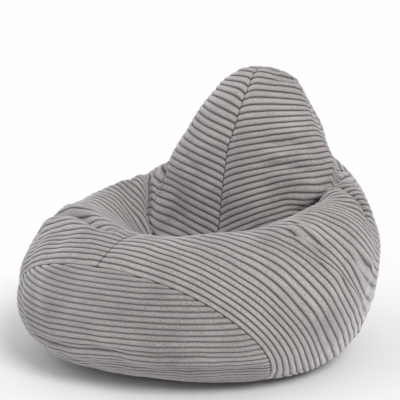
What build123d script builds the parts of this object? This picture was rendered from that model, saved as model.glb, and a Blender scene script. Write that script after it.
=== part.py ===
from build123d import *
import math
import os

# A teardrop bean bag chair: a cord cover of four gores and a two-part round base, a lining bag
# filled with foam beads, and a concealed zip across the base. The chair faces -Y, +Z is up, and
# the origin is on the floor, under the middle of the bag's width, on the axis of the zip's arc.

os.makedirs("parts", exist_ok=True)

# ---- Driving dimensions, in millimetres and degrees ----

# Thickness of the cord fabric with its pile, and of the lining fabric.
cover_thickness = 3.0
lining_thickness = 1.0

# The bag's reach in front at the height of the zip, which the belly's other sections follow.
belly_reach = 410.0

# The zip runs round the lower front of the base at one height, on an arc about the Z axis.
zip_height = 70.0
zip_arc_radius = belly_reach
zip_half_angle = 40.0
zip_setback = 26.0
zip_tape_width = 11.5
zip_tape_thickness = 0.8

# The two rows of teeth stand parted by the neck of the slider. Each tooth grips the tape's edge,
# and a moulded cord joins the teeth of a row.
tooth_row_gap = 2.4
tooth_nose = 1.0
tooth_grip = 1.6
tooth_grip_clearance = 0.05
tooth_thickness = 2.8
tooth_width = 2.6
tooth_pitch = 6.0
tooth_cord_thickness = 1.8
tape_slot_overrun = 1.0
end_stop_width = 5.0

# The slider has no pull tab, so that a child can't open the bag.
slider_length = 14.0
slider_half_width = 6.4
slider_plate = 1.2
slider_rim = 1.1
slider_neck_length = 4.0
slider_clearance = 0.35
slider_end_margin = 1.6

# The edges of the two base panels meet as lips over the zip, and turn in to its tapes.
lip_gap = 0.6
lip_thickness = 2.0
lip_hem = 6.0
lip_slider_clearance = 0.8

# Room left round the zip inside the lining.
zip_pocket_clearance = 1.2
zip_pocket_end_margin = 6.0

# Where the base's seam meets the bag's centre plane in front, and where it reaches the floor.
base_seam_front_y = 2 - belly_reach
base_seam_front_z = 306.0
base_seam_floor_y = 252 - belly_reach
base_floor_depth = 16.0
base_floor_half_width = belly_reach - 105
base_floor_back_reach = belly_reach - 195

# The side seams run back from the base along the bag's lower edge, round an oval under the bag.
underside_y = -60.0
underside_half_width = belly_reach - 110
underside_reach = belly_reach - 80

# The side seam seen from the side, as (y, z) from behind that oval to above the peak.
side_seam_points = [
    (belly_reach - 205, -10),
    (belly_reach - 165, 90),
    (belly_reach - 137, 200),
    (belly_reach - 126, 340),
    (belly_reach - 134, 470),
    (belly_reach - 149, 585),
    (belly_reach - 160, 700),
]


class Station:
    """One closed section of the stuffed bag: two half ellipses that share their widest line.

    front and back are its (y, z) ends in the centre plane, half_width is its reach to each side,
    and share is how far from the front end to the back end it is widest. bunching is how many
    thicknesses deeper the layers under the skin lie, where the cloth bunches round the seat.
    """

    def __init__(self, front, back, half_width, share, bunching=0):
        self.front = Vector(0, *front)
        self.back = Vector(0, *back)
        self.half_width = half_width
        self.share = share
        self.bunching = bunching

    def centre(self):
        return self.front + (self.back - self.front) * self.share

    def depth(self):
        return (self.back - self.front).length

    def plane(self):
        along = (self.back - self.front).normalized()
        return Plane(origin=self.centre(), x_dir=(1, 0, 0), z_dir=(0, -along.Z, along.Y))


# From the floor up the belly, over the front roll and arms, down into the seat, and up the back.
stations = [
    Station((235 - belly_reach, 0), (belly_reach - 165, 0), belly_reach - 148, 0.44),
    Station((175 - belly_reach, 4), (belly_reach - 117, 4), belly_reach - 106, 0.44),
    Station((118 - belly_reach, 14), (belly_reach - 70, 14), belly_reach - 68, 0.44),
    Station((56 - belly_reach, 36), (belly_reach - 28, 33), belly_reach - 36, 0.445),
    Station((-belly_reach, zip_height), (belly_reach + 8, 60), belly_reach - 10, 0.45),
    Station((-36 - belly_reach, 125), (belly_reach + 38, 120), belly_reach + 18, 0.46),
    Station((-42 - belly_reach, 190), (belly_reach + 52, 195), belly_reach + 27, 0.48),
    Station((-8 - belly_reach, 260), (belly_reach + 52, 278), belly_reach + 20, 0.50),
    Station((56 - belly_reach, 314), (belly_reach + 40, 354), belly_reach - 11, 0.52),
    Station((140 - belly_reach, 337), (belly_reach + 23, 416), belly_reach - 65, 0.54, bunching=0.5),
    Station((260 - belly_reach, 290), (belly_reach + 2, 478), belly_reach - 130, 0.55, bunching=1.0),
    Station((belly_reach - 425, 190), (belly_reach - 30, 540), 234, 0.58, bunching=1.0),
    Station((belly_reach - 340, 280), (belly_reach - 55, 588), 216, 0.58, bunching=0.5),
    Station((belly_reach - 310, 370), (belly_reach - 68, 615), 196, 0.54, bunching=0.2),
    Station((belly_reach - 282, 455), (belly_reach - 82, 640), 171, 0.52),
    Station((belly_reach - 255, 540), (belly_reach - 95, 662), 142, 0.50),
    Station((belly_reach - 225, 615), (belly_reach - 110, 680), 104, 0.50),
    Station((belly_reach - 195, 660), (belly_reach - 132, 689), 62, 0.50),
]


def inset_stations(depth):
    """Sections of the same bag, moved inwards by depth along the skin's own normals."""
    inner = []
    last = len(stations) - 1
    for index, station in enumerate(stations):
        below = stations[max(index - 1, 0)]
        above = stations[min(index + 1, last)]
        front_run = (above.front - below.front).normalized()
        back_run = (above.back - below.back).normalized()
        front = station.front + Vector(0, front_run.Z, -front_run.Y) * depth
        back = station.back + Vector(0, -back_run.Z, back_run.Y) * depth
        if index == last:
            across = (station.back - station.front).normalized()
            sunk = station.plane().z_dir * -depth
            front = station.front + sunk + across * depth
            back = station.back + sunk - across * depth
        centre_run = above.centre() - below.centre()
        taper = (above.half_width - below.half_width) / centre_run.length
        centre = front + (back - front) * station.share
        climb = (centre - station.centre()).dot(centre_run.normalized())
        half_width = station.half_width + climb * taper - depth * math.hypot(1, taper)
        section = Station((front.Y, front.Z), (back.Y, back.Z), half_width, station.share)
        sinking = section.plane().z_dir * -depth * station.bunching
        section.front += sinking
        section.back += sinking
        inner.append(section)
    return inner


def bag_body(sections):
    """The closed solid inside a list of sections."""
    with BuildPart() as body:
        for section in sections:
            front_depth = section.depth() * section.share
            back_depth = section.depth() - front_depth
            width = section.half_width
            with BuildSketch(section.plane()):
                with BuildLine():
                    EllipticalCenterArc((0, 0), width, front_depth, start_angle=180, arc_size=180)
                    EllipticalCenterArc((0, 0), width, back_depth, start_angle=0, arc_size=180)
                make_face()
        loft()
    return body.part


def arc_band(inner_radius, outer_radius, low, high, start_angle, sweep):
    """A band about the Z axis, from start_angle round by sweep, measured from -Y towards +X."""
    with BuildPart() as band:
        with BuildSketch(Plane.XZ.rotated((0, 0, start_angle - 90))):
            with Locations(((inner_radius + outer_radius) / 2, (low + high) / 2)):
                Rectangle(outer_radius - inner_radius, high - low)
        revolve(axis=Axis.Z, revolution_arc=sweep)
    return band.part


# ---- Whole forms that the pieces are cut from ----

outside = bag_body(stations)
inside_cover = bag_body(inset_stations(cover_thickness))
inside_lining = bag_body(inset_stations(cover_thickness + lining_thickness))
room = outside.bounding_box().diagonal

# Where the zip stands: its tapes, its two ends, and the heights of its lips above the middle.
tape_radius = zip_arc_radius - zip_setback
tape_inner = tape_radius - zip_tape_thickness / 2
tape_outer = tape_radius + zip_tape_thickness / 2
tape_edge = tooth_row_gap / 2 + tooth_nose
tape_far_edge = tape_edge + zip_tape_width
hem_edge = slider_half_width + lip_slider_clearance


def arc_degrees(length):
    """The angle that a length takes up along the zip."""
    return math.degrees(length / tape_radius)


# The slider's plates pass inside and outside the teeth.
slider_inner = tape_radius - tooth_thickness / 2 - slider_clearance - slider_plate
slider_outer = tape_radius + tooth_thickness / 2 + slider_clearance + slider_plate
slider_start = -zip_half_angle + arc_degrees(end_stop_width + slider_end_margin)
slider_sweep = arc_degrees(slider_length)
slider_travel = -2 * slider_start - slider_sweep

# The base is everything in front of a tilted plane, and a half oval under the bag behind it.
base_seam_run = Vector(0, base_seam_front_y - base_seam_floor_y, base_seam_front_z)
base_seam_normal = Vector(0, base_seam_run.Z, -base_seam_run.Y).normalized()
base_plane = Plane(
    origin=(0, base_seam_floor_y, 0), x_dir=(1, 0, 0), z_dir=base_seam_normal * -1
)
with BuildPart() as base_region:
    with BuildSketch(base_plane):
        Rectangle(2 * room, 2 * room)
    extrude(amount=room)
    with BuildSketch(Plane.XY.offset(-base_floor_depth)):
        with Locations((0, base_seam_floor_y)):
            Ellipse(base_floor_half_width, base_floor_back_reach)
    extrude(amount=2 * base_floor_depth)

# This prism holds the two front gores, above the oval under the bag and in front of the seams
# that climb the outside of the arms, behind the seat and up the edges of the back.
seam_foot, seam_peak = side_seam_points[0], side_seam_points[-1]
with BuildPart() as front_region:
    with BuildSketch(Plane.YZ):
        with BuildLine():
            Spline(side_seam_points)
            Polyline(
                seam_peak,
                (seam_peak[0], room),
                (-room, room),
                (-room, seam_foot[1]),
                seam_foot,
            )
        make_face()
    extrude(amount=room, both=True)
    with BuildSketch(Plane.XY.offset(-base_floor_depth)):
        with Locations((0, underside_y)):
            Ellipse(underside_half_width, underside_reach)
    extrude(amount=2 * base_floor_depth, mode=Mode.SUBTRACT)

with BuildPart() as cover:
    add(outside)
    add(inside_cover, mode=Mode.SUBTRACT)

with BuildPart() as base_cover:
    add(cover.part)
    add(base_region.part, mode=Mode.INTERSECT)


def gore(side, region_mode):
    """One of the four gores: a side of the cover's upper part, in front of or behind the seam."""
    with BuildPart() as piece:
        add(cover.part)
        add(base_region.part, mode=Mode.SUBTRACT)
        split(bisect_by=Plane.YZ, keep=side)
        add(front_region.part, mode=region_mode)
    return piece.part


def zip_lip(direction):
    """The turned-in edge of a base panel, from the skin to the hem sewn on the zip's tape."""
    lip_edge = lip_gap / 2
    shelf = slider_outer + lip_slider_clearance
    far = zip_arc_radius + lip_thickness
    outline = [
        (far, lip_edge),
        (shelf, hem_edge),
        (tape_outer, hem_edge),
        (tape_outer, hem_edge + lip_hem),
        (tape_outer + lip_thickness, hem_edge + lip_hem),
        (tape_outer + lip_thickness, hem_edge + lip_thickness),
        (shelf, hem_edge + lip_thickness),
        (far, lip_edge + lip_thickness),
    ]
    profile = [(radius, zip_height + direction * rise) for radius, rise in outline]
    with BuildPart() as lip:
        with BuildSketch(Plane.XZ.rotated((0, 0, -90 - zip_half_angle))):
            with BuildLine():
                Polyline(*profile, close=True)
            make_face()
        revolve(axis=Axis.Z, revolution_arc=2 * zip_half_angle)
        add(outside, mode=Mode.INTERSECT)
    return lip.part


def tape_slot(direction):
    """The slot that a tape's edge takes up in the teeth and the stops."""
    near = zip_height + direction * (tape_edge - tooth_grip_clearance)
    far = zip_height + direction * tape_far_edge
    return arc_band(
        tape_inner - tooth_grip_clearance,
        tape_outer + tooth_grip_clearance,
        min(near, far),
        max(near, far),
        -zip_half_angle - tape_slot_overrun,
        2 * (zip_half_angle + tape_slot_overrun),
    )


def tooth_row(direction):
    """A row of teeth that grip a tape's edge, joined by their cord."""
    row_start = -zip_half_angle + arc_degrees(end_stop_width + tooth_width)
    count = int(-2 * row_start / arc_degrees(tooth_pitch)) + 1
    low = zip_height + direction * tooth_row_gap / 2
    cord_inner = tape_radius - tooth_cord_thickness / 2
    cord_outer = tape_radius + tooth_cord_thickness / 2
    cord_near = zip_height + direction * (tooth_row_gap / 2 + tooth_nose / 2)
    cord_far = zip_height + direction * (tape_edge + tooth_grip)
    with BuildPart() as row:
        add(
            arc_band(
                cord_inner,
                cord_outer,
                min(cord_near, cord_far),
                max(cord_near, cord_far),
                row_start,
                -2 * row_start,
            )
        )
        with BuildSketch(Plane.XY.offset(low)):
            with PolarLocations(tape_radius, count, row_start - 90, -2 * row_start, endpoint=True):
                Rectangle(tooth_thickness, tooth_width)
        extrude(amount=direction * (tooth_nose + tooth_grip))
        add(tape_slot(direction), mode=Mode.SUBTRACT)
    return row.part


# ---- The pieces ----

# The cord cover: four gores that meet at the peak, sewn to a round base.
with BuildPart() as front_left_panel:
    add(gore(Keep.BOTTOM, Mode.INTERSECT))

with BuildPart() as front_right_panel:
    add(gore(Keep.TOP, Mode.INTERSECT))

with BuildPart() as back_left_panel:
    add(gore(Keep.BOTTOM, Mode.SUBTRACT))

with BuildPart() as back_right_panel:
    add(gore(Keep.TOP, Mode.SUBTRACT))

with BuildPart() as base_front_panel:
    add(base_cover.part)
    split(bisect_by=Plane.XY.offset(zip_height + lip_gap / 2), keep=Keep.TOP)
    add(zip_lip(1))

with BuildPart() as base_rear_panel:
    add(base_cover.part)
    split(bisect_by=Plane.XY.offset(zip_height - lip_gap / 2), keep=Keep.BOTTOM)
    add(zip_lip(-1))

# The zip: two woven tapes, two rows of teeth, a slider and the stops at both ends.
with BuildPart() as zip_tape_upper:
    add(
        arc_band(
            tape_inner,
            tape_outer,
            zip_height + tape_edge,
            zip_height + tape_far_edge,
            -zip_half_angle,
            2 * zip_half_angle,
        )
    )

with BuildPart() as zip_tape_lower:
    add(
        arc_band(
            tape_inner,
            tape_outer,
            zip_height - tape_far_edge,
            zip_height - tape_edge,
            -zip_half_angle,
            2 * zip_half_angle,
        )
    )

with BuildPart() as zip_teeth_upper:
    add(tooth_row(1))

with BuildPart() as zip_teeth_lower:
    add(tooth_row(-1))

with BuildPart() as zip_slider:
    low, high = zip_height - slider_half_width, zip_height + slider_half_width
    neck = tooth_row_gap / 2 - slider_clearance
    neck_sweep = arc_degrees(slider_neck_length)
    add(arc_band(slider_inner, slider_inner + slider_plate, low, high, slider_start, slider_sweep))
    add(arc_band(slider_outer - slider_plate, slider_outer, low, high, slider_start, slider_sweep))
    add(
        arc_band(
            slider_inner,
            slider_outer,
            zip_height - neck,
            zip_height + neck,
            slider_start + slider_sweep - neck_sweep,
            neck_sweep,
        )
    )
    for rim_low in (low, high - slider_rim):
        rim_high = rim_low + slider_rim
        inner_rim_edge = tape_inner - slider_clearance
        outer_rim_edge = tape_outer + slider_clearance
        add(arc_band(slider_inner, inner_rim_edge, rim_low, rim_high, slider_start, slider_sweep))
        add(arc_band(outer_rim_edge, slider_outer, rim_low, rim_high, slider_start, slider_sweep))

with BuildPart() as zip_end_stops:
    stop_inner = tape_radius - tooth_thickness / 2
    stop_outer = tape_radius + tooth_thickness / 2
    stop_reach = tape_edge + tooth_grip
    stop_sweep = arc_degrees(end_stop_width)
    for stop_start in (-zip_half_angle, zip_half_angle - stop_sweep):
        add(
            arc_band(
                stop_inner,
                stop_outer,
                zip_height - stop_reach,
                zip_height + stop_reach,
                stop_start,
                stop_sweep,
            )
        )
    add(tape_slot(1), mode=Mode.SUBTRACT)
    add(tape_slot(-1), mode=Mode.SUBTRACT)


def zip_pocket(margin):
    """The room that the zip takes up behind the cover, grown by margin."""
    end_sweep = arc_degrees(zip_pocket_end_margin + margin)
    return arc_band(
        slider_inner - zip_pocket_clearance - margin,
        zip_arc_radius + room / 4,
        zip_height - tape_far_edge - zip_pocket_clearance - margin,
        zip_height + tape_far_edge + zip_pocket_clearance + margin,
        -zip_half_angle - end_sweep,
        2 * (zip_half_angle + end_sweep),
    )


# The lining bag of plain cloth in two halves, tucked in behind the zip, and the foam beads in it.
with BuildPart() as bead_fill:
    add(inside_lining)
    add(zip_pocket(lining_thickness), mode=Mode.SUBTRACT)

with BuildPart() as lining:
    add(inside_cover)
    add(zip_pocket(0), mode=Mode.SUBTRACT)
    add(bead_fill.part, mode=Mode.SUBTRACT)

with BuildPart() as lining_left:
    add(lining.part)
    split(bisect_by=Plane.YZ, keep=Keep.BOTTOM)

with BuildPart() as lining_right:
    add(lining.part)
    split(bisect_by=Plane.YZ, keep=Keep.TOP)

# ---- Labels and files ----

pieces = {
    "front_left_panel": front_left_panel,
    "front_right_panel": front_right_panel,
    "back_left_panel": back_left_panel,
    "back_right_panel": back_right_panel,
    "base_front_panel": base_front_panel,
    "base_rear_panel": base_rear_panel,
    "zip_tape_upper": zip_tape_upper,
    "zip_tape_lower": zip_tape_lower,
    "zip_teeth_upper": zip_teeth_upper,
    "zip_teeth_lower": zip_teeth_lower,
    "zip_slider": zip_slider,
    "zip_end_stops": zip_end_stops,
    "lining_left": lining_left,
    "lining_right": lining_right,
    "bead_fill": bead_fill,
}
for name, piece in pieces.items():
    piece.part.label = name
    export_step(piece.part, f"parts/{name}.step")

print("slider travel in degrees:", round(slider_travel, 2))
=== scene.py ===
import math

import bmesh
import bpy
import numpy as np
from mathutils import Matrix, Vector


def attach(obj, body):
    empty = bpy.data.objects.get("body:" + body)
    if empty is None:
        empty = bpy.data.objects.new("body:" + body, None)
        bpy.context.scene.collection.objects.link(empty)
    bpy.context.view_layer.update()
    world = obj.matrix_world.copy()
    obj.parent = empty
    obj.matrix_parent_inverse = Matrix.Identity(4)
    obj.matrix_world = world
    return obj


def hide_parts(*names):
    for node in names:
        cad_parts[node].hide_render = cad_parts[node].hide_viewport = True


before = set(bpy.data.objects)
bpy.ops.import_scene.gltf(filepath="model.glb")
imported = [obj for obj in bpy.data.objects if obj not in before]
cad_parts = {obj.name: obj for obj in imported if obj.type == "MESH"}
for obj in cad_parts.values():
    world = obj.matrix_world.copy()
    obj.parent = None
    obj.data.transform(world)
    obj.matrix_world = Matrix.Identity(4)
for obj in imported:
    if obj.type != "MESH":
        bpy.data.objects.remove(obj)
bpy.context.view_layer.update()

# A teardrop bean bag chair in warm grey jumbo cord: four gores that meet at the peak, sewn to a
# round base with a concealed zip, over a lining full of foam beads. Lengths are in metres. The
# chair faces -Y and stands on z = 0.

# ---- The stuffed shape ----
# The beads fill the bag to one teardrop form with a seat pressed into its front. Its sections
# run from the floor up the belly, over the front roll and the arms, and up the back to the peak.

# Each section: front (y, z), back (y, z), half width, and how far from front to back it is widest.
sections = np.array([
    (-0.175, 0.000, 0.245, 0.000, 0.262, 0.44),
    (-0.292, 0.014, 0.340, 0.014, 0.342, 0.44),
    (-0.410, 0.070, 0.418, 0.060, 0.400, 0.45),
    (-0.446, 0.125, 0.448, 0.120, 0.428, 0.46),
    (-0.452, 0.190, 0.462, 0.195, 0.437, 0.48),
    (-0.418, 0.260, 0.462, 0.278, 0.430, 0.50),
    (-0.354, 0.314, 0.450, 0.354, 0.399, 0.52),
    (-0.270, 0.337, 0.433, 0.416, 0.345, 0.54),
    (-0.150, 0.290, 0.412, 0.478, 0.280, 0.55),
    (-0.015, 0.190, 0.380, 0.540, 0.234, 0.58),
    (0.070, 0.280, 0.355, 0.588, 0.216, 0.58),
    (0.100, 0.370, 0.342, 0.615, 0.196, 0.54),
    (0.128, 0.455, 0.328, 0.640, 0.171, 0.52),
    (0.155, 0.540, 0.315, 0.662, 0.142, 0.50),
    (0.185, 0.615, 0.300, 0.680, 0.104, 0.50),
    (0.215, 0.660, 0.286, 0.688, 0.063, 0.50),
    (0.243, 0.683, 0.282, 0.690, 0.034, 0.50),
    (0.272, 0.692, 0.280, 0.691, 0.006, 0.50),
])
# The climb from the middle of the underside to the floor's edge.
floor_reach = 0.25
# The (y, z) places of the side seams, and the oval under the bag that they keep outside.
side_seam = np.array([(0.205, -0.010), (0.245, 0.090), (0.275, 0.200), (0.292, 0.340),
                      (0.298, 0.470), (0.288, 0.585), (0.270, 0.700)])
underside = np.array([0.300, 0.330])
underside_y = -0.060


def cubic_through(knots, values):
    """A natural cubic spline through values at knots."""
    values = np.asarray(values, float)
    last = len(knots) - 1
    gaps = np.diff(knots)
    slopes = np.diff(values, axis=0) / gaps.reshape(-1, *[1] * (values.ndim - 1))
    system = np.eye(last + 1)
    right = np.zeros_like(values)
    for i in range(1, last):
        system[i, i - 1:i + 2] = gaps[i - 1], 2 * (gaps[i - 1] + gaps[i]), gaps[i]
        right[i] = 6 * (slopes[i] - slopes[i - 1])
    bend = np.linalg.solve(system, right.reshape(last + 1, -1)).reshape(values.shape)

    def curve(at):
        at = np.asarray(at, float)
        k = np.clip(np.searchsorted(knots, at, side="right") - 1, 0, last - 1)
        gap = gaps[k]
        before, after = at - knots[k], knots[k + 1] - at
        if values.ndim > 1:
            gap, before, after = gap[..., None], before[..., None], after[..., None]
        return (
            (bend[k] * after**3 + bend[k + 1] * before**3) / (6 * gap)
            + (values[k] / gap - bend[k] * gap / 6) * after
            + (values[k + 1] / gap - bend[k + 1] * gap / 6) * before
        )

    return curve


steps = np.diff(sections, axis=0)
climbs = np.hypot(
    (np.hypot(steps[:, 0], steps[:, 1]) + np.hypot(steps[:, 2], steps[:, 3])) / 2, steps[:, 4]
)
heights = np.concatenate([[0], np.cumsum(climbs)])
peak = heights[-1]
low_belly, full_belly, deep_seat, under_peak = heights[[3, 4, 9, 14]]
section_at = cubic_through(heights, sections)


def run_along(points, axis=0):
    """The length reached at each point of a line or a grid of points, along one axis."""
    lengths = np.linalg.norm(np.diff(points, axis=axis), axis=-1)
    start = np.zeros_like(np.take(points[..., 0], [0], axis=axis))
    return np.concatenate([start, np.cumsum(lengths, axis=axis)], axis=axis)


def skin(climb, turn):
    """Points of the skin. climb runs up from the floor's edge to the peak and is negative under
    the bag, and turn goes from the front centre, by the side towards +X, to the back at pi."""
    climb, turn = np.broadcast_arrays(np.asarray(climb, float), np.asarray(turn, float))
    ring = section_at(np.clip(climb, 0, peak))
    front, back, width, share = ring[..., 0:2], ring[..., 2:4], ring[..., 4], ring[..., 5:6]
    middle = front + (back - front) * share
    ahead = np.cos(turn)[..., None]
    profile = middle + np.where(ahead > 0, (front - middle) * ahead, (middle - back) * ahead)
    shrink = np.clip(1 + climb / floor_reach, 0, 1)
    points = np.stack([width * np.sin(turn), profile[..., 0], profile[..., 1]], -1)
    return points * np.where(climb < 0, shrink, 1)[..., None]


def outward(climb, turn):
    """The skin's unit normals."""
    step = 1e-4
    low = np.maximum(climb - step, 0)
    high = np.minimum(climb + step, peak - 1e-3)
    up = skin(high, turn) - skin(np.minimum(low, high - step), turn)
    across = skin(np.clip(climb, 0, peak - 1e-3), turn + step) - skin(
        np.clip(climb, 0, peak - 1e-3), turn - step
    )
    normal = np.cross(across, up)
    normal /= np.linalg.norm(normal, axis=-1, keepdims=True)
    under = np.clip(-np.asarray(climb) / 0.02, 0, 1)[..., None]
    normal = normal * (1 - under) + np.array([0, 0, -1.0]) * under
    return normal / np.linalg.norm(normal, axis=-1, keepdims=True)


# ---- How the filled bag has slumped ----
# The beads lean the peak a little to one side, and the slack cloth folds where the back meets the
# arms and creases where it is sat on. Each fold runs along a path of (x, y, z) places.

# How far the bag leans towards +X at some heights.
lean_heights = np.array([0.00, 0.30, 0.42, 0.50, 0.58, 0.64, 0.70])
lean_reach = np.array([0.000, 0.000, -0.010, -0.013, -0.003, 0.006, 0.006])

# Each fold: its path, its depth, its width, how much the cloth swells beside it, and how far the
# cloth on its left laps over it, or on its right where that is less than zero.
folds = [
    # Between the left arm and the edge of the back.
    ([(-0.300, 0.215, 0.412), (-0.272, 0.181, 0.397), (-0.240, 0.118, 0.337),
      (-0.212, 0.064, 0.293), (-0.181, 0.050, 0.258), (-0.120, 0.010, 0.225)],
     0.060, 0.012, 0.015, 0.020),
    # Two pleats on the inside of the left arm, beside that fold.
    ([(-0.325, 0.150, 0.398), (-0.290, 0.090, 0.350), (-0.235, 0.040, 0.300)],
     0.009, 0.008, 0.004, 0.0),
    ([(-0.345, 0.110, 0.388), (-0.320, 0.060, 0.352), (-0.262, 0.010, 0.310)],
     0.006, 0.008, 0.003, 0.0),
    # Under the edge of the back, over the right arm.
    ([(0.400, 0.170, 0.340), (0.334, 0.185, 0.389), (0.275, 0.205, 0.400),
      (0.225, 0.197, 0.386), (0.185, 0.140, 0.335)],
     0.056, 0.011, 0.012, -0.016),
    # Across the top of the left arm, where the front roll swells.
    ([(-0.360, -0.150, 0.290), (-0.290, -0.185, 0.333), (-0.200, -0.205, 0.345),
      (-0.110, -0.250, 0.343), (-0.050, -0.275, 0.336)],
     0.020, 0.014, 0.010, 0.0),
    # Short wrinkles on the right arm.
    ([(0.318, -0.105, 0.352), (0.352, -0.082, 0.343), (0.392, -0.062, 0.318)],
     0.007, 0.007, 0.004, 0.0),
    ([(0.300, -0.065, 0.358), (0.330, -0.040, 0.354), (0.370, -0.020, 0.338)],
     0.006, 0.007, 0.003, 0.0),
    ([(0.400, -0.010, 0.300), (0.424, 0.040, 0.262), (0.436, 0.110, 0.226)],
     0.012, 0.009, 0.006, 0.0),
    # Creases across the right of the back, one under the peak, and one left of the seat.
    ([(0.105, 0.150, 0.500), (0.150, 0.190, 0.510), (0.195, 0.235, 0.490)],
     0.009, 0.011, 0.006, 0.0),
    ([(0.095, 0.128, 0.450), (0.150, 0.165, 0.458), (0.205, 0.215, 0.435)],
     0.007, 0.010, 0.005, 0.0),
    ([(0.060, 0.230, 0.660), (0.090, 0.250, 0.655), (0.115, 0.285, 0.640)],
     0.006, 0.008, 0.004, 0.0),
    ([(-0.150, 0.170, 0.470), (-0.120, 0.140, 0.440), (-0.075, 0.118, 0.425)],
     0.004, 0.012, 0.003, 0.0),
    # Across the base's front, where its cloth puckers a little above the zip.
    ([(-0.230, -0.390, 0.112), (-0.100, -0.435, 0.116), (0.060, -0.440, 0.118),
      (0.220, -0.385, 0.118), (0.330, -0.295, 0.117)],
     0.005, 0.007, 0.003, 0.0),
]
# Where the slack cloth sits off the full shape: a place, its reach and its (x, y, z) shift.
sags = [
    ((-0.330, 0.030, 0.370), 0.130, (0.0, 0.0, -0.014)),
    ((0.340, 0.060, 0.360), 0.120, (0.0, 0.0, 0.004)),
    ((-0.140, -0.405, 0.085), 0.150, (-0.004, -0.004, -0.016)),
    ((-0.215, 0.215, 0.425), 0.080, (-0.022, -0.006, -0.008)),
    ((-0.320, 0.190, 0.400), 0.075, (0.0, 0.0, -0.016)),
    ((0.225, 0.240, 0.430), 0.085, (0.024, 0.002, -0.006)),
]


def ease(value):
    """A smooth step from 0 to 1."""
    value = np.clip(value, 0, 1)
    return value * value * (3 - 2 * value)


# How high the soft waves stand, how far above the floor they and the sags start, and over what
# share of its length a fold grows from each end.
wave_height = 0.0022
floor_hold = 0.06
fold_taper = 0.22


def slump(points, normals):
    """The stuffed shape with its lean, its folds and its soft unevenness."""
    x, y, z = points[..., 0], points[..., 1], points[..., 2]
    moved = points.copy()
    moved[..., 0] += np.interp(z, lean_heights, lean_reach)
    rise = np.clip(z / floor_hold, 0, 1)
    wave = (
        np.sin(31 * x + 13 * y + 2.1) * np.sin(27 * z - 11 * y + 0.6)
        + 0.8 * np.sin(47 * y - 17 * x + 1.0) * np.sin(39 * z + 23 * x + 2.4)
        + 0.5 * np.sin(83 * x + 41 * z) * np.sin(67 * y - 29 * z + 1.3)
    )
    shift = (wave_height * wave * rise)[..., None] * normals
    for place, spread, drift in sags:
        near = np.exp(-(((points - np.array(place)) ** 2).sum(-1) / spread**2))
        shift += (near * rise)[..., None] * np.array(drift)
    for path, depth, width, swell, lap in folds:
        path = np.array(path)
        best = np.full(x.shape, 9.0)
        side = np.zeros(x.shape)
        travel = np.zeros(x.shape)
        reach = run_along(path)
        lengths = np.linalg.norm(np.diff(path, axis=0), axis=1)
        for k in range(len(path) - 1):
            run = path[k + 1] - path[k]
            at = np.clip(((points - path[k]) @ run) / (run @ run), 0, 1)
            off = points - path[k] - at[..., None] * run
            far = np.linalg.norm(off, axis=-1)
            near = far < best
            turned = (np.cross(run / lengths[k], off) * normals).sum(-1)
            best = np.where(near, far, best)
            side = np.where(near, turned, side)
            travel = np.where(near, (reach[k] + at * lengths[k]) / reach[-1], travel)
        ends = ease(np.minimum(travel, 1 - travel) / fold_taper)
        groove = np.exp(-((best / width) ** 2))
        beside = np.exp(-(((best - 2.6 * width) / (1.8 * width)) ** 2))
        shift += ((swell * beside - depth * groove) * ends)[..., None] * normals
        if lap:
            across = np.cross(np.gradient(path, axis=0).mean(0), normals)
            across /= np.maximum(np.linalg.norm(across, axis=-1, keepdims=True), 1e-9)
            over = np.exp(-(((best - 2.0 * width) / (2.0 * width)) ** 2))
            over = over * (side * lap > 0) * ends
            shift += across * (lap * over)[..., None]
    return moved + shift


# ---- Where the seams run ----
# Two seams climb the centre, front and back. Two side seams climb the outside of the arms and the
# edges of the back. The base's seam lies on a tilted plane in front, and in an oval under the bag.

climb_steps = np.linspace(-floor_reach, peak, 1400)
seam_curtain = cubic_through(side_seam[:, 1], side_seam[:, 0])


def side_turn(climb):
    """The turn at which the side seam crosses each section."""
    ring = section_at(np.clip(climb, 0, under_peak))
    low, high = np.zeros(len(ring)), np.ones(len(ring))
    for _ in range(40):
        share = (low + high) / 2
        y = ring[:, 0] + (ring[:, 2] - ring[:, 0]) * share
        z = ring[:, 1] + (ring[:, 3] - ring[:, 1]) * share
        ahead = y < seam_curtain(z)
        low, high = np.where(ahead, share, low), np.where(ahead, high, share)
    widest = ring[:, 5]
    cosine = np.where(low < widest, 1 - low / widest, -(low - widest) / (1 - widest))
    return np.arccos(np.clip(cosine, -1, 1))


side_turns = side_turn(climb_steps)
# The base's seam: its front (y, z), where its plane meets the floor, and the oval under the bag.
base_front = np.array([-0.408, 0.306])
base_foot_y = -0.158
base_oval = np.array([0.305, 0.215])
base_oval_depth = 0.016


def above_base(points):
    """How far points lie outside the base, less than zero on the base."""
    run = np.array([base_front[0] - base_foot_y, base_front[1]])
    normal = np.array([run[1], -run[0]]) / np.hypot(*run)
    plane = (points[..., 1] - base_foot_y) * normal[0] + points[..., 2] * normal[1]
    oval = np.hypot(points[..., 0] / base_oval[0], (points[..., 1] - base_foot_y) / base_oval[1])
    return np.minimum(plane, np.maximum((oval - 1) * base_oval[1], points[..., 2] - base_oval_depth))


def crossing(gap, steps):
    """Where along steps the gap last turns from negative to positive."""
    under = np.nonzero(gap < 0)[0][-1]
    part = gap[under] / (gap[under] - gap[under + 1])
    return steps[under] + part * (steps[under + 1] - steps[under])


def base_leave(turn):
    """The climb at which the skin at one turn leaves the base."""
    return crossing(above_base(skin(climb_steps, turn)), climb_steps)


turn_steps = np.linspace(0, math.pi, 1200)


def base_turn(climb):
    """The turn at which a section leaves the base."""
    gap = above_base(skin(climb, turn_steps))
    if gap[0] > 0:
        return 0.0
    if gap.max() < 0:
        return math.pi
    over = np.nonzero(gap > 0)[0][0]
    part = gap[over - 1] / (gap[over - 1] - gap[over])
    return turn_steps[over - 1] + part * (turn_steps[1] - turn_steps[0])


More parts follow.
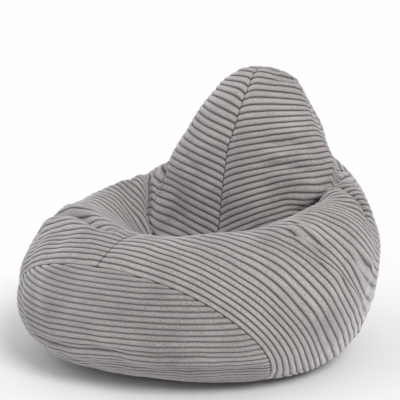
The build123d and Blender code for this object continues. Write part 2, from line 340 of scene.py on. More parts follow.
def evenly(path, count):
    """A path of (climb, turn) places, as count places at even lengths along the skin."""
    path = np.asarray(path)
    reach = run_along(skin(path[:, 0], path[:, 1]))
    at = np.linspace(0, reach[-1], count)
    return np.stack([np.interp(at, reach, path[:, 0]), np.interp(at, reach, path[:, 1])], -1)


# The side seams start at the base's seam, run back along the bag's lower edge, then turn up.
low_climbs = climb_steps[climb_steps < low_belly]
side_path = []
for turn in turn_steps[200:]:
    around = skin(low_climbs, turn)
    outside_oval = np.hypot(around[:, 0] / underside[0], (around[:, 1] - underside_y) / underside[1]) - 1
    climb = crossing(outside_oval, low_climbs)
    place = skin(climb, turn)
    if above_base(place) < 0:
        continue
    side_path.append((climb, turn))
    if place[1] > seam_curtain(place[2]):
        break
side_path += [
    (climb, turn) for climb, turn in zip(climb_steps, side_turns) if climb > side_path[-1][0]
]
top_climb = base_leave(0.0)
foot_climb, foot_turn = side_path[0]
front_foot = [(climb, base_turn(climb)) for climb in np.linspace(top_climb, foot_climb, 300)]
front_foot[-1] = side_path[0]
back_foot = [(base_leave(turn), turn) for turn in np.linspace(foot_turn, math.pi, 300)]
back_foot[0] = side_path[0]

# ---- How the cord lies ----
# Each gore is cut with its wales across it. They run along the base's seam, and the cloth keeps
# its width, so a wale is a line at one cloth distance from that seam, all round the bulges. Only
# on the stretched back do they run straight.

# A wale's usual width, by which lengths along the wales are counted too.
wale = 0.016
# Where the mesh has its rows across one wale, and its columns away from a seam.
wale_phases = np.array([0, 0.05, 0.14, 0.30, 0.50, 0.70, 0.86, 0.95])
seam_columns = np.array([0, 0.0008, 0.0018, 0.003, 0.0046, 0.0066, 0.009, 0.0125])
# A panel narrower than this has its seam columns drawn together.
narrow_panel = 0.12


def wale_counts(wales):
    """How many wales lie before each row of a panel that is so many wales high."""
    return np.append((np.arange(wales)[:, None] + wale_phases).reshape(-1), wales)


def cloth_distance(points, rounds):
    """The cloth distance of a grid of points (up, across) from its first row, evened out over the
    grid's triangles in so many rounds."""
    rows, columns = points.shape[:2]
    index = np.arange(rows * columns).reshape(rows, columns)
    index[-1] = index[-1, 0]
    flat = points.reshape(-1, 3)
    a, b, c, d = index[:-1, :-1], index[:-1, 1:], index[1:, 1:], index[1:, :-1]
    triangles = np.concatenate([
        np.stack([a, b, c], -1).reshape(-1, 3), np.stack([a, c, d], -1).reshape(-1, 3)
    ])
    corners = flat[triangles]
    normal = np.cross(corners[:, 1] - corners[:, 0], corners[:, 2] - corners[:, 0])
    twice = np.linalg.norm(normal, axis=1)
    sound = (twice > 1e-9) & (triangles[:, 1] != triangles[:, 2]) & (triangles[:, 0] != triangles[:, 2])
    triangles, corners, normal, twice = triangles[sound], corners[sound], normal[sound], twice[sound]
    normal = normal / twice[:, None]
    opposite = np.roll(corners, -2, axis=1) - np.roll(corners, -1, axis=1)
    slopes = np.cross(normal[:, None], opposite) / twice[:, None, None]
    area = twice / 2
    stiffness = np.zeros((len(flat), len(flat)))
    for i in range(3):
        for j in range(3):
            weight = area * (slopes[:, i] * slopes[:, j]).sum(1)
            np.add.at(stiffness, (triangles[:, i], triangles[:, j]), weight)
    used = np.zeros(len(flat), bool)
    used[triangles] = True
    used[index[0]] = False
    free = np.nonzero(used)[0]
    solve = np.linalg.inv(stiffness[np.ix_(free, free)])
    distance = run_along(points)
    distance[-1] = distance[-1].mean()
    distance = distance.reshape(-1)[index].reshape(-1)
    for _ in range(rounds):
        slope = (slopes * distance[triangles][..., None]).sum(1)
        slope /= np.maximum(np.linalg.norm(slope, axis=1, keepdims=True), 1e-9)
        pull = np.zeros(len(flat))
        for i in range(3):
            np.add.at(pull, triangles[:, i], area * (slopes[:, i] * slope).sum(1))
        distance[free] = solve @ pull[free]
        distance = distance[index].reshape(-1)
    return distance[index].reshape(rows, columns)


def columns_across(length, count):
    """Places across a panel of one length: close together at its seams, even between them."""
    edge = seam_columns * min(1, length / narrow_panel)
    inner = np.linspace(edge[-1], length - edge[-1], count - 2 * len(edge) + 2)
    return np.concatenate([edge[:-1], inner, (length - edge[:-1])[::-1]])


def lay_rows(place, columns, ups, count):
    """Rows of skin places, one for each row of ups, spaced evenly across by their real length."""
    laid = []
    for up in ups:
        along = place(columns, up)
        reach = run_along(skin(*along))
        column = np.interp(columns_across(reach[-1], count), reach, columns)
        laid.append(np.stack(place(column, np.interp(column, columns, up)), -1))
    return np.array(laid)


# The fan of the wales away from the centre seam dies out over fan_reach, and no two wales stand
# further apart than their pitch over least_crowding.
fan_reach = 0.30
least_crowding = 0.40
# Where the back stands clear of the arms: the climb of its lower edge at some turns.
back_edge_turns = np.array([0.00, 0.60, 0.87, 1.05, 1.25, 1.63, 3.15])
back_edge_climbs = np.array([0.870, 0.880, 0.896, 0.862, 0.850, 0.795, 0.780])
# Where the straight wales of the back give way to the others: about that edge, from a turn round
# the side, and from a height near the peak. Each has its reach.
back_edge_blend = 0.06
side_blend_turn, side_blend_reach = 1.75, 0.50
peak_blend_height, peak_blend_reach = 0.57, 0.09


def soften(field, reach, axis):
    """A running mean of a grid along one axis."""
    share = np.ones(2 * reach + 1) / (2 * reach + 1)
    return np.apply_along_axis(
        lambda line: np.convolve(np.pad(line, reach, "edge"), share, "valid"), axis, field)


def gore_rows(first, last, foot, count, rounds, pitches, fan=((0, 0),), rises=None):
    """The places and wale counts of one gore, in rows that follow its wales. first and last are
    the paths of its two long seams, foot is the path of its seam with the base, and pitches are
    how far apart the wales stand at the foot and at the peak. fan lists (climb, slope) pairs for
    how steeply the wales rise away from the first seam, and rises lists (height, slope) pairs for
    the stretched cloth of the back, where they run straight."""
    samples = 400
    first, last, foot = evenly(first, samples), evenly(last, samples), evenly(foot, samples)
    even = np.linspace(0, 1, samples)

    def place(column, up):
        column, up = np.broadcast_arrays(column, up)
        result = []
        for k in range(2):
            left, right = np.interp(up, even, first[:, k]), np.interp(up, even, last[:, k])
            below = np.interp(column, even, foot[:, k])
            straight = foot[0, k] * (1 - column) + foot[-1, k] * column
            result.append(left * (1 - column) + right * column + (1 - up) * (below - straight))
        return result

    # The cloth distance from the foot, on a coarse grid and then on a fine one.
    coarse = np.linspace(0, 1, 25)
    ups = np.linspace(0, 1, 85)
    distance = cloth_distance(skin(*place(coarse[None, :], ups[:, None])), rounds)
    fine_ups = np.linspace(0, 1, 900)
    columns = np.linspace(0, 1, 97)
    distance = cubic_through(coarse, cubic_through(ups, distance)(fine_ups).T)(columns)
    laid = skin(*place(columns[:, None], fine_ups[None, :]))
    # The wales rise away from the centre seam.
    away = run_along(laid, 0)
    slopes = np.interp(np.interp(fine_ups, even, first[:, 0]), *np.array(fan, float).T)
    distance = distance - slopes * fan_reach * -np.expm1(-away / fan_reach)
    # On the stretched back they run straight.
    if rises is not None:
        climb, turn = place(columns[:, None], fine_ups[None, :])
        start = np.argmax(climb[0] > deep_seat)
        seam_z, seam_reach = laid[0, start:, 2], distance[0, start:]
        level = laid[..., 2] - np.interp(laid[..., 2], *np.array(rises).T) * laid[..., 0]
        straight = np.interp(level, seam_z, seam_reach) + np.minimum(level - seam_z[0], 0)
        weight = (
            ease((climb - np.interp(turn, back_edge_turns, back_edge_climbs)) / back_edge_blend + 0.6)
            * (1 - ease((turn - side_blend_turn) / side_blend_reach))
            * (1 - ease((laid[..., 2] - peak_blend_height) / peak_blend_reach))
        )
        bend = (straight - distance) * weight
        for reach, axis in ((3, 0), (3, 0), (14, 1), (14, 1)):
            bend = soften(bend, reach, axis)
        distance = distance + bend
    climbed = run_along(laid, 1) * least_crowding
    distance = np.maximum.accumulate(distance - climbed, axis=1) + climbed
    # Rows at even shares of a wale, whose pitch grows from the foot to the peak.
    end = distance[:, -1].mean()
    growth = pitches[1] - pitches[0]
    wales = round(end / growth * math.log(pitches[1] / pitches[0]))
    counts = wale_counts(wales)
    levels = np.expm1(counts / wales * math.log(pitches[1] / pitches[0])) * pitches[0] / growth * end
    row_ups = np.array([np.interp(levels, line, fine_ups) for line in distance]).T
    row_ups[0], row_ups[-1] = 0, 1
    return lay_rows(place, columns, row_ups, count), counts


# ---- How the skin settles ----
# The stitches hold the cloth in, so the filled skin sinks towards each seam over about two
# centimetres, and rolls in to it over the last few millimetres.

seam_roll = 0.0046
seam_sink = 0.0040
seam_sink_reach = 0.022


def settle(points, normals, edges):
    """The skin rolled in to its seams. edges is each point's distance from the nearest seam."""
    inside = np.clip(seam_roll - edges, 0, seam_roll)
    roll = seam_roll - np.sqrt(np.maximum(seam_roll**2 - inside**2, 0))
    sink = seam_sink * np.exp(-((edges / seam_sink_reach) ** 2))
    return points - normals * (roll + sink)[..., None]


# ---- The cord cloth ----
# Jumbo cord in warm grey, a cut pile that stands in round wales on a plain back. The pile catches
# light at its edges, and its tufts lean a little one way and another.


def nodes_of(owner):
    """The emptied node tree of a material or a world."""
    owner.use_nodes = True
    tree = owner.node_tree
    tree.nodes.clear()
    return tree


def add_node(tree, kind, inputs=(), **settings):
    """One node of a tree. Its inputs are sockets to link or values, and settings are its own."""
    node = tree.nodes.new(kind)
    for name, value in settings.items():
        setattr(node, name, value)
    for key, value in dict(inputs).items():
        if isinstance(value, bpy.types.NodeSocket):
            tree.links.new(value, node.inputs[key])
        else:
            node.inputs[key].default_value = value
    return node


def surface_of(tree, inputs):
    """A principled surface with these inputs, linked to the material's output."""
    surface = add_node(tree, "ShaderNodeBsdfPrincipled", inputs)
    output = add_node(tree, "ShaderNodeOutputMaterial")
    tree.links.new(surface.outputs[0], output.inputs[0])


def maths(tree, operation, first, second=0.0):
    """The result of one sum."""
    return add_node(tree, "ShaderNodeMath", {0: first, 1: second}, operation=operation).outputs[0]


# The pile's light and dark tones, the painted shade in the grooves, and the painted seam shadow.
cord_light = (0.520, 0.480, 0.476, 1)
cord_dark = (0.230, 0.210, 0.208, 1)
painted_groove_shade = (0.080, 0.073, 0.072, 1)
seam_shadow = (0.020, 0.018, 0.018, 1)
# Round the middle of the seat's hollow the cord is painted darker as shade: in full out to the
# first of these distances, and fading to none by the second.
seat_middle = (-0.02, 0.04, 0.29)
seat_shade_full, seat_shade_none = 0.14, 0.30


def cord_material(name, nap_shade, groove_shade):
    """Cord with painted shade: over all of it by nap_shade, for pile that lies away from the light,
    in the hollow of the seat, and between its wales by groove_shade."""
    material = bpy.data.materials.new(name)
    tree = nodes_of(material)

    def blend(share, first, second):
        return add_node(tree, "ShaderNodeMix", {0: share, 6: first, 7: second},
                        data_type="RGBA").outputs[2]

    def span(value, low, high, low_out=0.0, high_out=1.0):
        return add_node(tree, "ShaderNodeMapRange", {
            "Value": value, "From Min": low, "From Max": high, "To Min": low_out,
            "To Max": high_out}, interpolation_type="SMOOTHSTEP").outputs[0]

    def noise(vector, scale, detail, roughness):
        return add_node(tree, "ShaderNodeTexNoise", {
            "Vector": vector, "Scale": scale, "Detail": detail, "Roughness": roughness}).outputs[0]

    cloth = add_node(tree, "ShaderNodeUVMap", uv_map="cloth").outputs[0]
    count = add_node(tree, "ShaderNodeSeparateXYZ", {0: cloth}).outputs[1]
    place = add_node(tree, "ShaderNodeTexCoord").outputs["Object"]
    crest = maths(tree, "PINGPONG", count, 0.5)
    # Tufts of pile, the flecks in them, and wide swirls where the cloth has been brushed.
    combed = add_node(tree, "ShaderNodeVectorMath", {0: cloth, 1: (1.6, 0.6, 1.0)},
                      operation="MULTIPLY").outputs[0]
    tufts = noise(combed, 5.0, 4.0, 0.65)
    flecks = noise(place, 330.0, 2.0, 0.7)
    swirls = noise(place, 8.0, 3.0, 0.55)
    lean = maths(tree, "ADD", maths(tree, "MULTIPLY", tufts, 0.60), maths(
        tree, "ADD", maths(tree, "MULTIPLY", flecks, 0.40), maths(tree, "MULTIPLY", swirls, 0.30)))
    lean = span(lean, 0.48, 0.80)
    # Painted shade: the pile darkens down the flanks of each wale, towards its groove, toward cord_dark.
    lean = maths(tree, "MULTIPLY", lean, span(crest, 0.05, 0.5, 0.65, 1.0))
    pile = blend(lean, cord_dark, cord_light)
    seat = add_node(tree, "ShaderNodeVectorMath", {0: place, 1: seat_middle},
                    operation="DISTANCE").outputs[1]
    # Painted shade: darker round the seat's hollow, and over the whole panel by nap_shade.
    painted_shade_scale = maths(tree, "MULTIPLY", span(seat, seat_shade_full, seat_shade_none, 0.84, 1.0), nap_shade)
    # Painted shade in the grooves between the wales, as strong as groove_shade.
    cord = blend(span(crest, 0.0, 0.25, groove_shade, 0.0), pile, painted_groove_shade)
    shaded = add_node(tree, "ShaderNodeVectorMath", {0: cord, 3: painted_shade_scale}, operation="SCALE")
    seam = add_node(tree, "ShaderNodeAttribute", attribute_name="from_seam").outputs["Fac"]
    # Painted shadow in the seams, by each point's distance from its seam.
    sewn = blend(span(seam, 0.0006, 0.0040, 0.85, 0.0), shaded.outputs[0], seam_shadow)
    relief = maths(tree, "ADD", tufts, maths(tree, "MULTIPLY", flecks, 0.8))
    bump = add_node(tree, "ShaderNodeBump", {
        "Height": relief, "Strength": 0.5, "Distance": 0.002})
    surface_of(tree, {
        "Base Color": sewn, "Roughness": 0.92, "Sheen Weight": 0.8, "Sheen Roughness": 0.4,
        "Specular IOR Level": 0.2, "Normal": bump.outputs[0],
    })
    return material


gore_cord = cord_material("warm_grey_cord", 1.0, 1.0)
# The base is painted darker as shade, for pile that lies away from the light, and its grooves less.
base_cord = cord_material("base_cord", 0.85, 0.7)

# A Geometry Nodes tree raises the pile: it lifts each point along its own outward direction by a
# round profile across the wale.
wale_height = 0.0040
cloth_back = 0.0016
cloth_thickness = 0.001
# Beside a seam the pile is pressed down to this share of its height, over this distance.
pressed_share, pressed_reach = 0.25, 0.002


def wale_raiser():
    """The tree that raises a panel's pile, with its sizes as named inputs."""
    tree = bpy.data.node_groups.new("raise_wales", "GeometryNodeTree")
    tree.interface.new_socket("Geometry", in_out="INPUT", socket_type="NodeSocketGeometry")
    tree.interface.new_socket("Wale Height", in_out="INPUT", socket_type="NodeSocketFloat")
    tree.interface.new_socket("Back", in_out="INPUT", socket_type="NodeSocketFloat")
    tree.interface.new_socket("Cloth", in_out="INPUT", socket_type="NodeSocketMaterial")
    tree.interface.new_socket("Geometry", in_out="OUTPUT", socket_type="NodeSocketGeometry")
    given = add_node(tree, "NodeGroupInput")

    def read(name, kind):
        return add_node(tree, "GeometryNodeInputNamedAttribute", {"Name": name}, data_type=kind)

    count = read("wale_count", "FLOAT").outputs[0]
    lift = read("pile_lift", "FLOAT").outputs[0]
    away = read("away", "FLOAT_VECTOR").outputs[0]
    across = maths(tree, "SUBTRACT", maths(tree, "MULTIPLY", maths(tree, "PINGPONG", count, 0.5), 2), 1)
    round_top = maths(tree, "POWER", maths(tree, "MAXIMUM", maths(
        tree, "SUBTRACT", 1, maths(tree, "MULTIPLY", across, across)), 0), 0.75)
    raised = maths(tree, "SUBTRACT", maths(tree, "MULTIPLY", round_top, given.outputs[1]),
                   given.outputs[2])
    offset = add_node(tree, "ShaderNodeVectorMath", {
        0: away, 3: maths(tree, "MULTIPLY", raised, lift)}, operation="SCALE")
    moved = add_node(tree, "GeometryNodeSetPosition", {
        "Geometry": given.outputs[0], "Offset": offset.outputs[0]})
    real = add_node(tree, "GeometryNodeRealizeInstances", {0: moved.outputs[0]})
    done = add_node(tree, "GeometryNodeSetMaterial", {0: real.outputs[0], "Material": given.outputs[3]})
    output = add_node(tree, "NodeGroupOutput")
    tree.links.new(done.outputs[0], output.inputs[0])
    return tree


raise_wales = wale_raiser()


def sew_panel(name, places, counts, edges, side, cord):
    """One panel of cord as a closed thin shell, in a grid of places (up, across)."""
    rows, columns = places.shape[:2]
    climb, turn = places[..., 0], places[..., 1]
    mirror = np.array([side, 1, 1])
    normals = outward(climb, turn) * mirror
    points = settle(slump(skin(climb, turn) * mirror, normals), normals, edges)
    # The outward direction at each point of the settled skin, and how far the pile stands up there.
    run_up = np.gradient(points, axis=0)
    run_across = np.gradient(points, axis=1)
    away = np.cross(run_across, run_up) * side
    length = np.linalg.norm(away, axis=2, keepdims=True)
    away = np.where(length > 1e-10, away / np.maximum(length, 1e-10), normals)
    away = np.where((away * normals).sum(2, keepdims=True) > 0.2, away, normals)
    across = run_along(points, 1)
    across -= across[:, -1:] / 2
    lift = np.clip(edges / pressed_reach, pressed_share, 1)

    # The cloth's inside is smooth, so it has only one row for each wale.
    inner_rows = np.arange(0, rows, len(wale_phases))
    if inner_rows[-1] != rows - 1:
        inner_rows = np.append(inner_rows, rows - 1)
    inner = points[inner_rows] - away[inner_rows] * (cloth_back + cloth_thickness)
    outer_index = np.arange(rows * columns).reshape(rows, columns)
    inner_index = rows * columns + np.arange(len(inner_rows) * columns).reshape(-1, columns)

    def quads(index):
        return np.stack([index[:-1, :-1], index[:-1, 1:], index[1:, 1:], index[1:, :-1]], -1).reshape(-1, 4)

    faces = quads(outer_index).tolist() + quads(inner_index)[:, ::-1].tolist()
    for outer_row, inner_row in (
        (outer_index[0], inner_index[0]), (outer_index[-1][::-1], inner_index[-1][::-1]),
    ):
        faces += [[int(outer_row[i + 1]), int(outer_row[i]), int(inner_row[i]), int(inner_row[i + 1])]
                  for i in range(columns - 1)]
    for k in range(len(inner_rows) - 1):
        start, end = inner_rows[k], inner_rows[k + 1]
        left = outer_index[start:end + 1, 0].tolist()
        right = outer_index[start:end + 1, -1].tolist()
        faces.append(left + [int(inner_index[k + 1, 0]), int(inner_index[k, 0])])
        faces.append(right[::-1] + [int(inner_index[k, -1]), int(inner_index[k + 1, -1])])
    if side < 0:
        faces = [face[::-1] for face in faces]
    mesh = bpy.data.meshes.new(name)
    vertices = np.concatenate([points.reshape(-1, 3), inner.reshape(-1, 3)])
    mesh.from_pydata(vertices.tolist(), [], faces)
    count_map = np.broadcast_to(counts[:, None], (rows, columns))
    everywhere = {
        "wale_count": np.concatenate([count_map.reshape(-1), count_map[inner_rows].reshape(-1)]),
        "pile_lift": np.concatenate([lift.reshape(-1), np.zeros(inner.shape[0] * columns)]),
        "from_seam": np.concatenate([edges.reshape(-1), edges[inner_rows].reshape(-1)]),
        "along": np.concatenate([across.reshape(-1), across[inner_rows].reshape(-1)]) / wale,
    }
    for key in ("wale_count", "pile_lift", "from_seam"):
        mesh.attributes.new(key, "FLOAT", "POINT").data.foreach_set("value", everywhere[key])
    directions = np.concatenate([away.reshape(-1, 3), away[inner_rows].reshape(-1, 3)])
    mesh.attributes.new("away", "FLOAT_VECTOR", "POINT").data.foreach_set("vector", directions.reshape(-1))
    loops = np.zeros(len(mesh.loops), int)
    mesh.loops.foreach_get("vertex_index", loops)
    cloth = mesh.uv_layers.new(name="cloth")
    cloth.data.foreach_set("uv", np.stack(
        [everywhere["along"][loops], everywhere["wale_count"][loops]], -1).reshape(-1))
    mesh.polygons.foreach_set("use_smooth", np.ones(len(mesh.polygons), bool))

    # The pile is raised, and the result kept as a plain mesh.
    source = bpy.data.objects.new(name + "_flat", mesh)
    bpy.context.scene.collection.objects.link(source)
    modifier = source.modifiers.new("wales", "NODES")
    modifier.node_group = raise_wales
    settings = {"Wale Height": wale_height, "Back": cloth_back, "Cloth": cord}
    for item in raise_wales.interface.items_tree:
        if item.item_type == "SOCKET" and item.in_out == "INPUT" and item.name in settings:
            modifier[item.identifier] = settings[item.name]
    evaluated = source.evaluated_get(bpy.context.evaluated_depsgraph_get())
    made = bpy.data.meshes.new_from_object(evaluated)
    bpy.data.objects.remove(source)
    made.name = name
    for key in ("wale_count", "pile_lift", "away"):
        if key in made.attributes:
            made.attributes.remove(made.attributes[key])
    panel = bpy.data.objects.new(name, made)
    bpy.context.scene.collection.objects.link(panel)
    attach(panel, "bag")
    return panel


def seam_gaps(places, first_edge, last_edge):
    """Each place's distance from the nearest seam: the row's ends, and the first and last rows
    where they are seams too."""
    points = skin(places[..., 0], places[..., 1])
    along = run_along(points, 1)
    gaps = np.minimum(along, along[:, -1:] - along)
    up = run_along(points, 0)
    if first_edge:
        gaps = np.minimum(gaps, up)
    if last_edge:
        gaps = np.minimum(gaps, up[-1:] - up)
    return gaps


# ---- The front gores ----
# The two gores that are seen and sat on: each covers half of the front roll, one arm, half of the
# seat and half of the back. They are sewn to each other down the centre.

front_columns = 112
# How far apart the wales stand at the foot and at the peak.
front_pitches = (0.0140, 0.0175)
# How often the cloth distance is evened out.
rounds = 3

front_seam = [(climb, 0.0) for climb in np.linspace(top_climb, peak, 300)]
for name, side, fan, rises in (
    ("front_left", -1, ((0.66, 0.0), (0.95, 0.40), (1.20, 0.62), (1.32, 0.50)),
     ((0.25, 0.20), (0.60, 0.22))),
    ("front_right", 1, ((0.66, 0.0), (0.95, 0.40), (1.20, 0.40), (1.30, 0.34)),
     ((0.25, 0.48), (0.40, 0.40), (0.50, 0.26), (0.60, 0.08))),
):
    front_rows, front_counts = gore_rows(
        front_seam, side_path, front_foot, front_columns, rounds, front_pitches, fan, rises
    )
    front_gaps = seam_gaps(front_rows, first_edge=True, last_edge=False)
    panel = sew_panel(name + "_gore", front_rows, front_counts, front_gaps, side, gore_cord)
    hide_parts(name + "_panel")

# ---- The back gores ----
# Two wider gores of the same cord wrap the back of the bag and its underside behind the base. They
# are sewn to each other down the middle of the back, and to the front gores at the side seams.

back_columns = 100
back_pitches = (0.0160, 0.0162)

back_seam = [(climb, math.pi) for climb in np.linspace(back_foot[-1][0], peak, 300)]
back_rows, back_counts = gore_rows(
    side_path, back_seam, back_foot, back_columns, rounds, back_pitches
)
back_gaps = seam_gaps(back_rows, first_edge=True, last_edge=False)
for name, side in (("back_left", -1), ("back_right", 1)):
    panel = sew_panel(name + "_gore", back_rows, back_counts, back_gaps, side, gore_cord)
    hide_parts(name + "_panel")

# ---- The base ----
# A round base in two parts, with its wales from side to side. The front part stands over the zip,
# and the rear part runs from the zip down and under the bag.

zip_height = 0.070
# How far each part's edge stands from the zip's middle.
lip_gap = 0.0006
base_wale = 0.0128
base_columns = 120

front_line = skin(climb_steps, np.zeros_like(climb_steps))
belly = (climb_steps > 0) & (climb_steps < full_belly)
zip_climb = float(np.interp(zip_height, front_line[belly, 2], climb_steps[belly]))
front_runs = run_along(front_line)


def base_rows(low, high, count):
    """Rows of the base between two climbs, along its wales."""
    reach = np.interp([low, high], climb_steps, front_runs)
    length = reach[1] - reach[0]
    wales = round(length / base_wale)
    counts = wale_counts(wales)
    climbs_up = np.interp(reach[0] + counts * length / wales, front_runs, climb_steps)
    columns = np.linspace(-1, 1, 121)
    rows = []
    for climb in climbs_up:
        turn = base_turn(climb)
        turns = columns * max(turn, 1e-4)
        reached = run_along(skin(climb, turns))
        turns = np.interp(columns_across(reached[-1], count), reached, turns)
        rows.append(np.stack([np.full(count, climb), turns], -1))
    return np.array(rows), counts


def base_floor_rows(edge, count):
    """Rows of the base's flat part under the bag, from the oval's far side to the floor's edge."""
    ring = skin(0.0, turn_steps)
    angles, radii = np.arctan2(ring[:, 0], -ring[:, 1]), np.hypot(ring[:, 0], ring[:, 1])
    near = skin(edge[:, 0], edge[:, 1])[:, :2]
    corner = math.acos(np.clip(near[-1, 0] / base_oval[0], -1, 1))
    swing = np.linspace(math.pi - corner, corner, count)
    far = np.stack([base_oval[0] * np.cos(swing), base_foot_y + base_oval[1] * np.sin(swing)], -1)
    far[0], far[-1] = near[0], near[-1]
    wales = round((far[:, 1].max() - near[:, 1].min()) / base_wale)
    counts = wale_counts(wales)
    rows = []
    for share in counts / wales:
        line = far + (near - far) * share
        angle, radius = np.arctan2(line[:, 0], -line[:, 1]), np.hypot(line[:, 0], line[:, 1])
        full = np.interp(np.abs(angle), angles, radii)
        climb = -floor_reach * (1 - np.minimum(radius / full, 1))
        turn = np.interp(np.abs(angle), angles, turn_steps) * np.sign(angle)
        rows.append(np.stack([climb, turn], -1))
    return np.array(rows), counts


base_front_rows, base_front_counts = base_rows(zip_climb + lip_gap, top_climb, base_columns)
base_front_gaps = seam_gaps(base_front_rows, first_edge=True, last_edge=True)
panel = sew_panel("base_front", base_front_rows, base_front_counts, base_front_gaps, 1, base_cord)
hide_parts("base_front_panel")

base_rear_rows, base_rear_counts = base_rows(0.0, zip_climb - lip_gap, base_columns)
floor_rows, floor_counts = base_floor_rows(base_rear_rows[0], base_columns)
base_rear_rows = np.concatenate([floor_rows, base_rear_rows[1:]])
base_rear_counts = np.concatenate([floor_counts - floor_counts[-1], base_rear_counts[1:]])
base_rear_gaps = seam_gaps(base_rear_rows, first_edge=False, last_edge=True)
panel = sew_panel("base_rear", base_rear_rows, base_rear_counts, base_rear_gaps, 1, base_cord)
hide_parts("base_rear_panel")

# ---- The lining and the beads ----
# A plain spunbond lining in two halves holds the foam beads. It lies a little way under the cord,
# and stands back from the zip.

lining_depth = 0.012
# How far it stands back from the zip, how far up and down, and the turns where it comes forward.
zip_room = 0.026
zip_room_height = 0.035
zip_room_end, zip_room_fade = 0.95, 0.15


def inner_skin(depth, turns, levels):
    """The stuffed shape a depth under the cord, closed to a point under the peak."""
    climb, turn = np.meshgrid(levels, turns, indexing="ij")
    place = skin(climb, turn)
    normals = outward(climb, np.abs(turn)) * np.stack(
        [np.where(turn < 0, -1.0, 1.0), np.ones_like(turn), np.ones_like(turn)], -1)
    ahead = np.abs(np.arctan2(place[..., 0], -place[..., 1]))
    near_zip = np.clip((zip_room_end - ahead) / zip_room_fade, 0, 1) * np.exp(
        -(((place[..., 2] - zip_height) / zip_room_height) ** 4))
    points = slump(place, normals) - normals * (depth + zip_room * near_zip)[..., None]
    points[-1] = points[-1].mean(0)
    points[0] = points[0].mean(0)
    return points


def cloth_material(name, colour, scale, strength, roughness):
    """A plain cloth or moulding with fine grain in its relief and a little in its colour."""
    material = bpy.data.materials.new(name)
    tree = nodes_of(material)
    place = add_node(tree, "ShaderNodeTexCoord").outputs["Object"]
    grain = add_node(tree, "ShaderNodeTexVoronoi", {"Vector": place, "Scale": scale})
    cloud = add_node(tree, "ShaderNodeTexNoise", {"Vector": place, "Scale": scale / 20, "Detail": 4.0})
    shade = add_node(tree, "ShaderNodeMix", {
        0: cloud.outputs[0], 6: (*[c * 0.86 for c in colour], 1), 7: (*colour, 1)}, data_type="RGBA")
    bump = add_node(tree, "ShaderNodeBump", {
        "Height": grain.outputs[0], "Strength": strength, "Distance": 0.4 / scale})
    surface_of(tree, {
        "Base Color": shade.outputs[2], "Roughness": roughness, "Normal": bump.outputs[0]})
    return material


def closed_piece(name, grids, material):
    """A closed mesh from one grid that wraps round, or from an outer and an inner grid."""
    mesh = bmesh.new()
    layers = [[[mesh.verts.new(point) for point in row] for row in grid.tolist()] for grid in grids]
    for flip, layer in enumerate(layers):
        for low, high in zip(layer, layer[1:]):
            for k in range(len(low) - 1):
                quad = [low[k], low[k + 1], high[k + 1], high[k]]
                mesh.faces.new(quad[::-1] if flip else quad)
    if len(layers) == 2:
        outer, inner = layers
        for k in range(len(outer) - 1):
            for end in (0, -1):
                mesh.faces.new([outer[k][end], outer[k + 1][end], inner[k + 1][end], inner[k][end]])
    bmesh.ops.remove_doubles(mesh, verts=mesh.verts, dist=1e-6)
    bmesh.ops.recalc_face_normals(mesh, faces=mesh.faces)
    data = bpy.data.meshes.new(name)
    mesh.to_mesh(data)
    mesh.free()
    data.polygons.foreach_set("use_smooth", np.ones(len(data.polygons), bool))
    data.materials.append(material)
    piece = bpy.data.objects.new(name, data)
    bpy.context.scene.collection.objects.link(piece)
    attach(piece, "bag")
    return piece


lining_thickness = 0.0012
# The beads lie this much deeper than the lining's outside.
bead_gap = 0.0035
# The lining ends this far down the skin from the peak.
lining_top_gap = 0.055
lining_levels = np.concatenate([
    np.linspace(-floor_reach, 0, 8)[:-1], np.linspace(0, peak - lining_top_gap, 70)
])
lining_cloth = cloth_material("spunbond_lining", (0.82, 0.81, 0.78), 900.0, 0.3, 0.85)
for name, side in (("left", -1), ("right", 1)):
    half = np.linspace(0, side * math.pi, 64)
    grids = [inner_skin(lining_depth, half, lining_levels),
             inner_skin(lining_depth + lining_thickness, half, lining_levels)]
    for grid in grids:
        grid[0], grid[-1] = grid[0] * (0, 1, 1), grid[-1] * (0, 1, 1)
    lining = closed_piece("lining_half_" + name, grids, lining_cloth)
    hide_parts("lining_" + name)

all_round = np.linspace(-math.pi, math.pi, 120)
beads = closed_piece(
    "packed_beads", [inner_skin(lining_depth + bead_gap, all_round, lining_levels)],
    cloth_material("foam_beads", (0.93, 0.93, 0.91), 260.0, 0.9, 0.6))
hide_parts("bead_fill")

# ---- The zip ----
# A concealed zip joins the two parts of the base: two woven tapes, two rows of moulded teeth with
# their stops, and a painted slider without a pull tab, all in grey. They are the part's own
# solids, and get their finishes here.

zip_finishes = {
    "zip_tape": cloth_material("woven_tape", (0.36, 0.34, 0.33), 1400.0, 0.5, 0.9),
    "zip_plastic": cloth_material("moulded_teeth", (0.30, 0.285, 0.275), 2200.0, 0.1, 0.5),
    "slider_metal": cloth_material("painted_slider", (0.27, 0.26, 0.25), 1800.0, 0.05, 0.35),
}
for node, finish in (
    ("zip_tape_upper", "zip_tape"), ("zip_tape_lower", "zip_tape"),
    ("zip_teeth_upper", "zip_plastic"), ("zip_teeth_lower", "zip_plastic"),
    ("zip_end_stops", "zip_plastic"), ("zip_slider", "slider_metal"),
):
    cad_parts[node].data.materials.clear()
    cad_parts[node].data.materials.append(zip_finishes[finish])

# ---- The floor and the light ----
# A wide white floor under a pale sky, with a soft key light from the chair's left front as its
# sitter sees it, and a weaker fill from its right front.

sky_light, sky_seen = 0.64, 1.0

def plain_material(name, colour):
    """A matt surface of one colour."""
    material = bpy.data.materials.new(name)
    tree = nodes_of(material)
    surface_of(tree, {"Base Color": colour, "Roughness": 0.9, "Specular IOR Level": 0.0})
    return material


floor_mesh = bpy.data.meshes.new("floor")
floor_mesh.from_pydata([(-60, -60, 0), (60, -60, 0), (60, 60, 0), (-60, 60, 0)], [], [(0, 1, 2, 3)])
floor = bpy.data.objects.new("floor", floor_mesh)
bpy.context.scene.collection.objects.link(floor)
floor_mesh.materials.append(plain_material("studio_floor", (0.96, 0.96, 0.96, 1)))

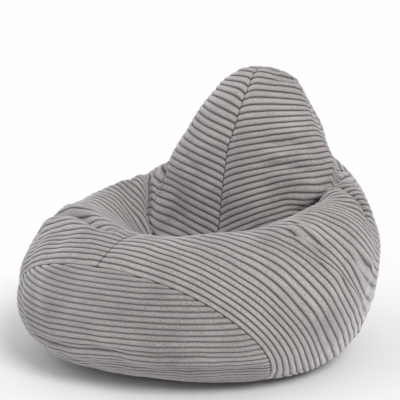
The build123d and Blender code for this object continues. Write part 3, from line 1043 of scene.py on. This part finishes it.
world = bpy.data.worlds.new("studio")
bpy.context.scene.world = world
world_tree = nodes_of(world)
rays = add_node(world_tree, "ShaderNodeLightPath")
seen = maths(world_tree, "MAXIMUM", rays.outputs["Is Camera Ray"], rays.outputs["Is Glossy Ray"])
seen = maths(world_tree, "MAXIMUM", seen, rays.outputs["Is Transmission Ray"])
strength = add_node(world_tree, "ShaderNodeMapRange", {
    "Value": seen, "From Min": 0.0, "From Max": 1.0, "To Min": sky_light, "To Max": sky_seen})
background = add_node(world_tree, "ShaderNodeBackground", {
    "Color": (1, 1, 1, 1), "Strength": strength.outputs[0]})
world_output = add_node(world_tree, "ShaderNodeOutputWorld")
world_tree.links.new(background.outputs[0], world_output.inputs[0])

for lamp_name, place, strength_w, spread_degrees in (
    ("key_light", (2.3, -1.0, 2.5), 1.60, 26),
    ("fill_light", (-2.0, -2.0, 2.0), 0.35, 60),
):
    lamp = bpy.data.lights.new(lamp_name, "SUN")
    lamp.energy = strength_w
    lamp.angle = math.radians(spread_degrees)
    light = bpy.data.objects.new(lamp_name, lamp)
    light.location = place
    light.rotation_euler = (Vector((0, 0, 0.3)) - Vector(place)).to_track_quat("-Z", "Y").to_euler()
    bpy.context.scene.collection.objects.link(light)

# ---- The camera ----
# A long lens about three metres off, a little above the chair and to its left front as its sitter
# sees it, shifted so that the whole chair is in the picture.

camera_data = bpy.data.cameras.new("camera")
camera_data.lens = 116
camera_data.sensor_width = 36
camera_data.shift_y = 0.0775
camera_data.shift_x = 0.00125
camera = bpy.data.objects.new("camera", camera_data)
camera_turn, camera_rise, camera_distance = math.radians(36), math.radians(12), 3.2
camera_aim = np.array((0, 0, 0.30))
camera_back = np.array((
    math.sin(camera_turn) * math.cos(camera_rise),
    -math.cos(camera_turn) * math.cos(camera_rise),
    math.sin(camera_rise),
))
camera.location = camera_aim + camera_back * camera_distance
camera.rotation_euler = (math.pi / 2 - camera_rise, 0, camera_turn)
bpy.context.scene.collection.objects.link(camera)
bpy.context.scene.camera = camera
bpy.context.scene.view_settings.view_transform = "Standard"
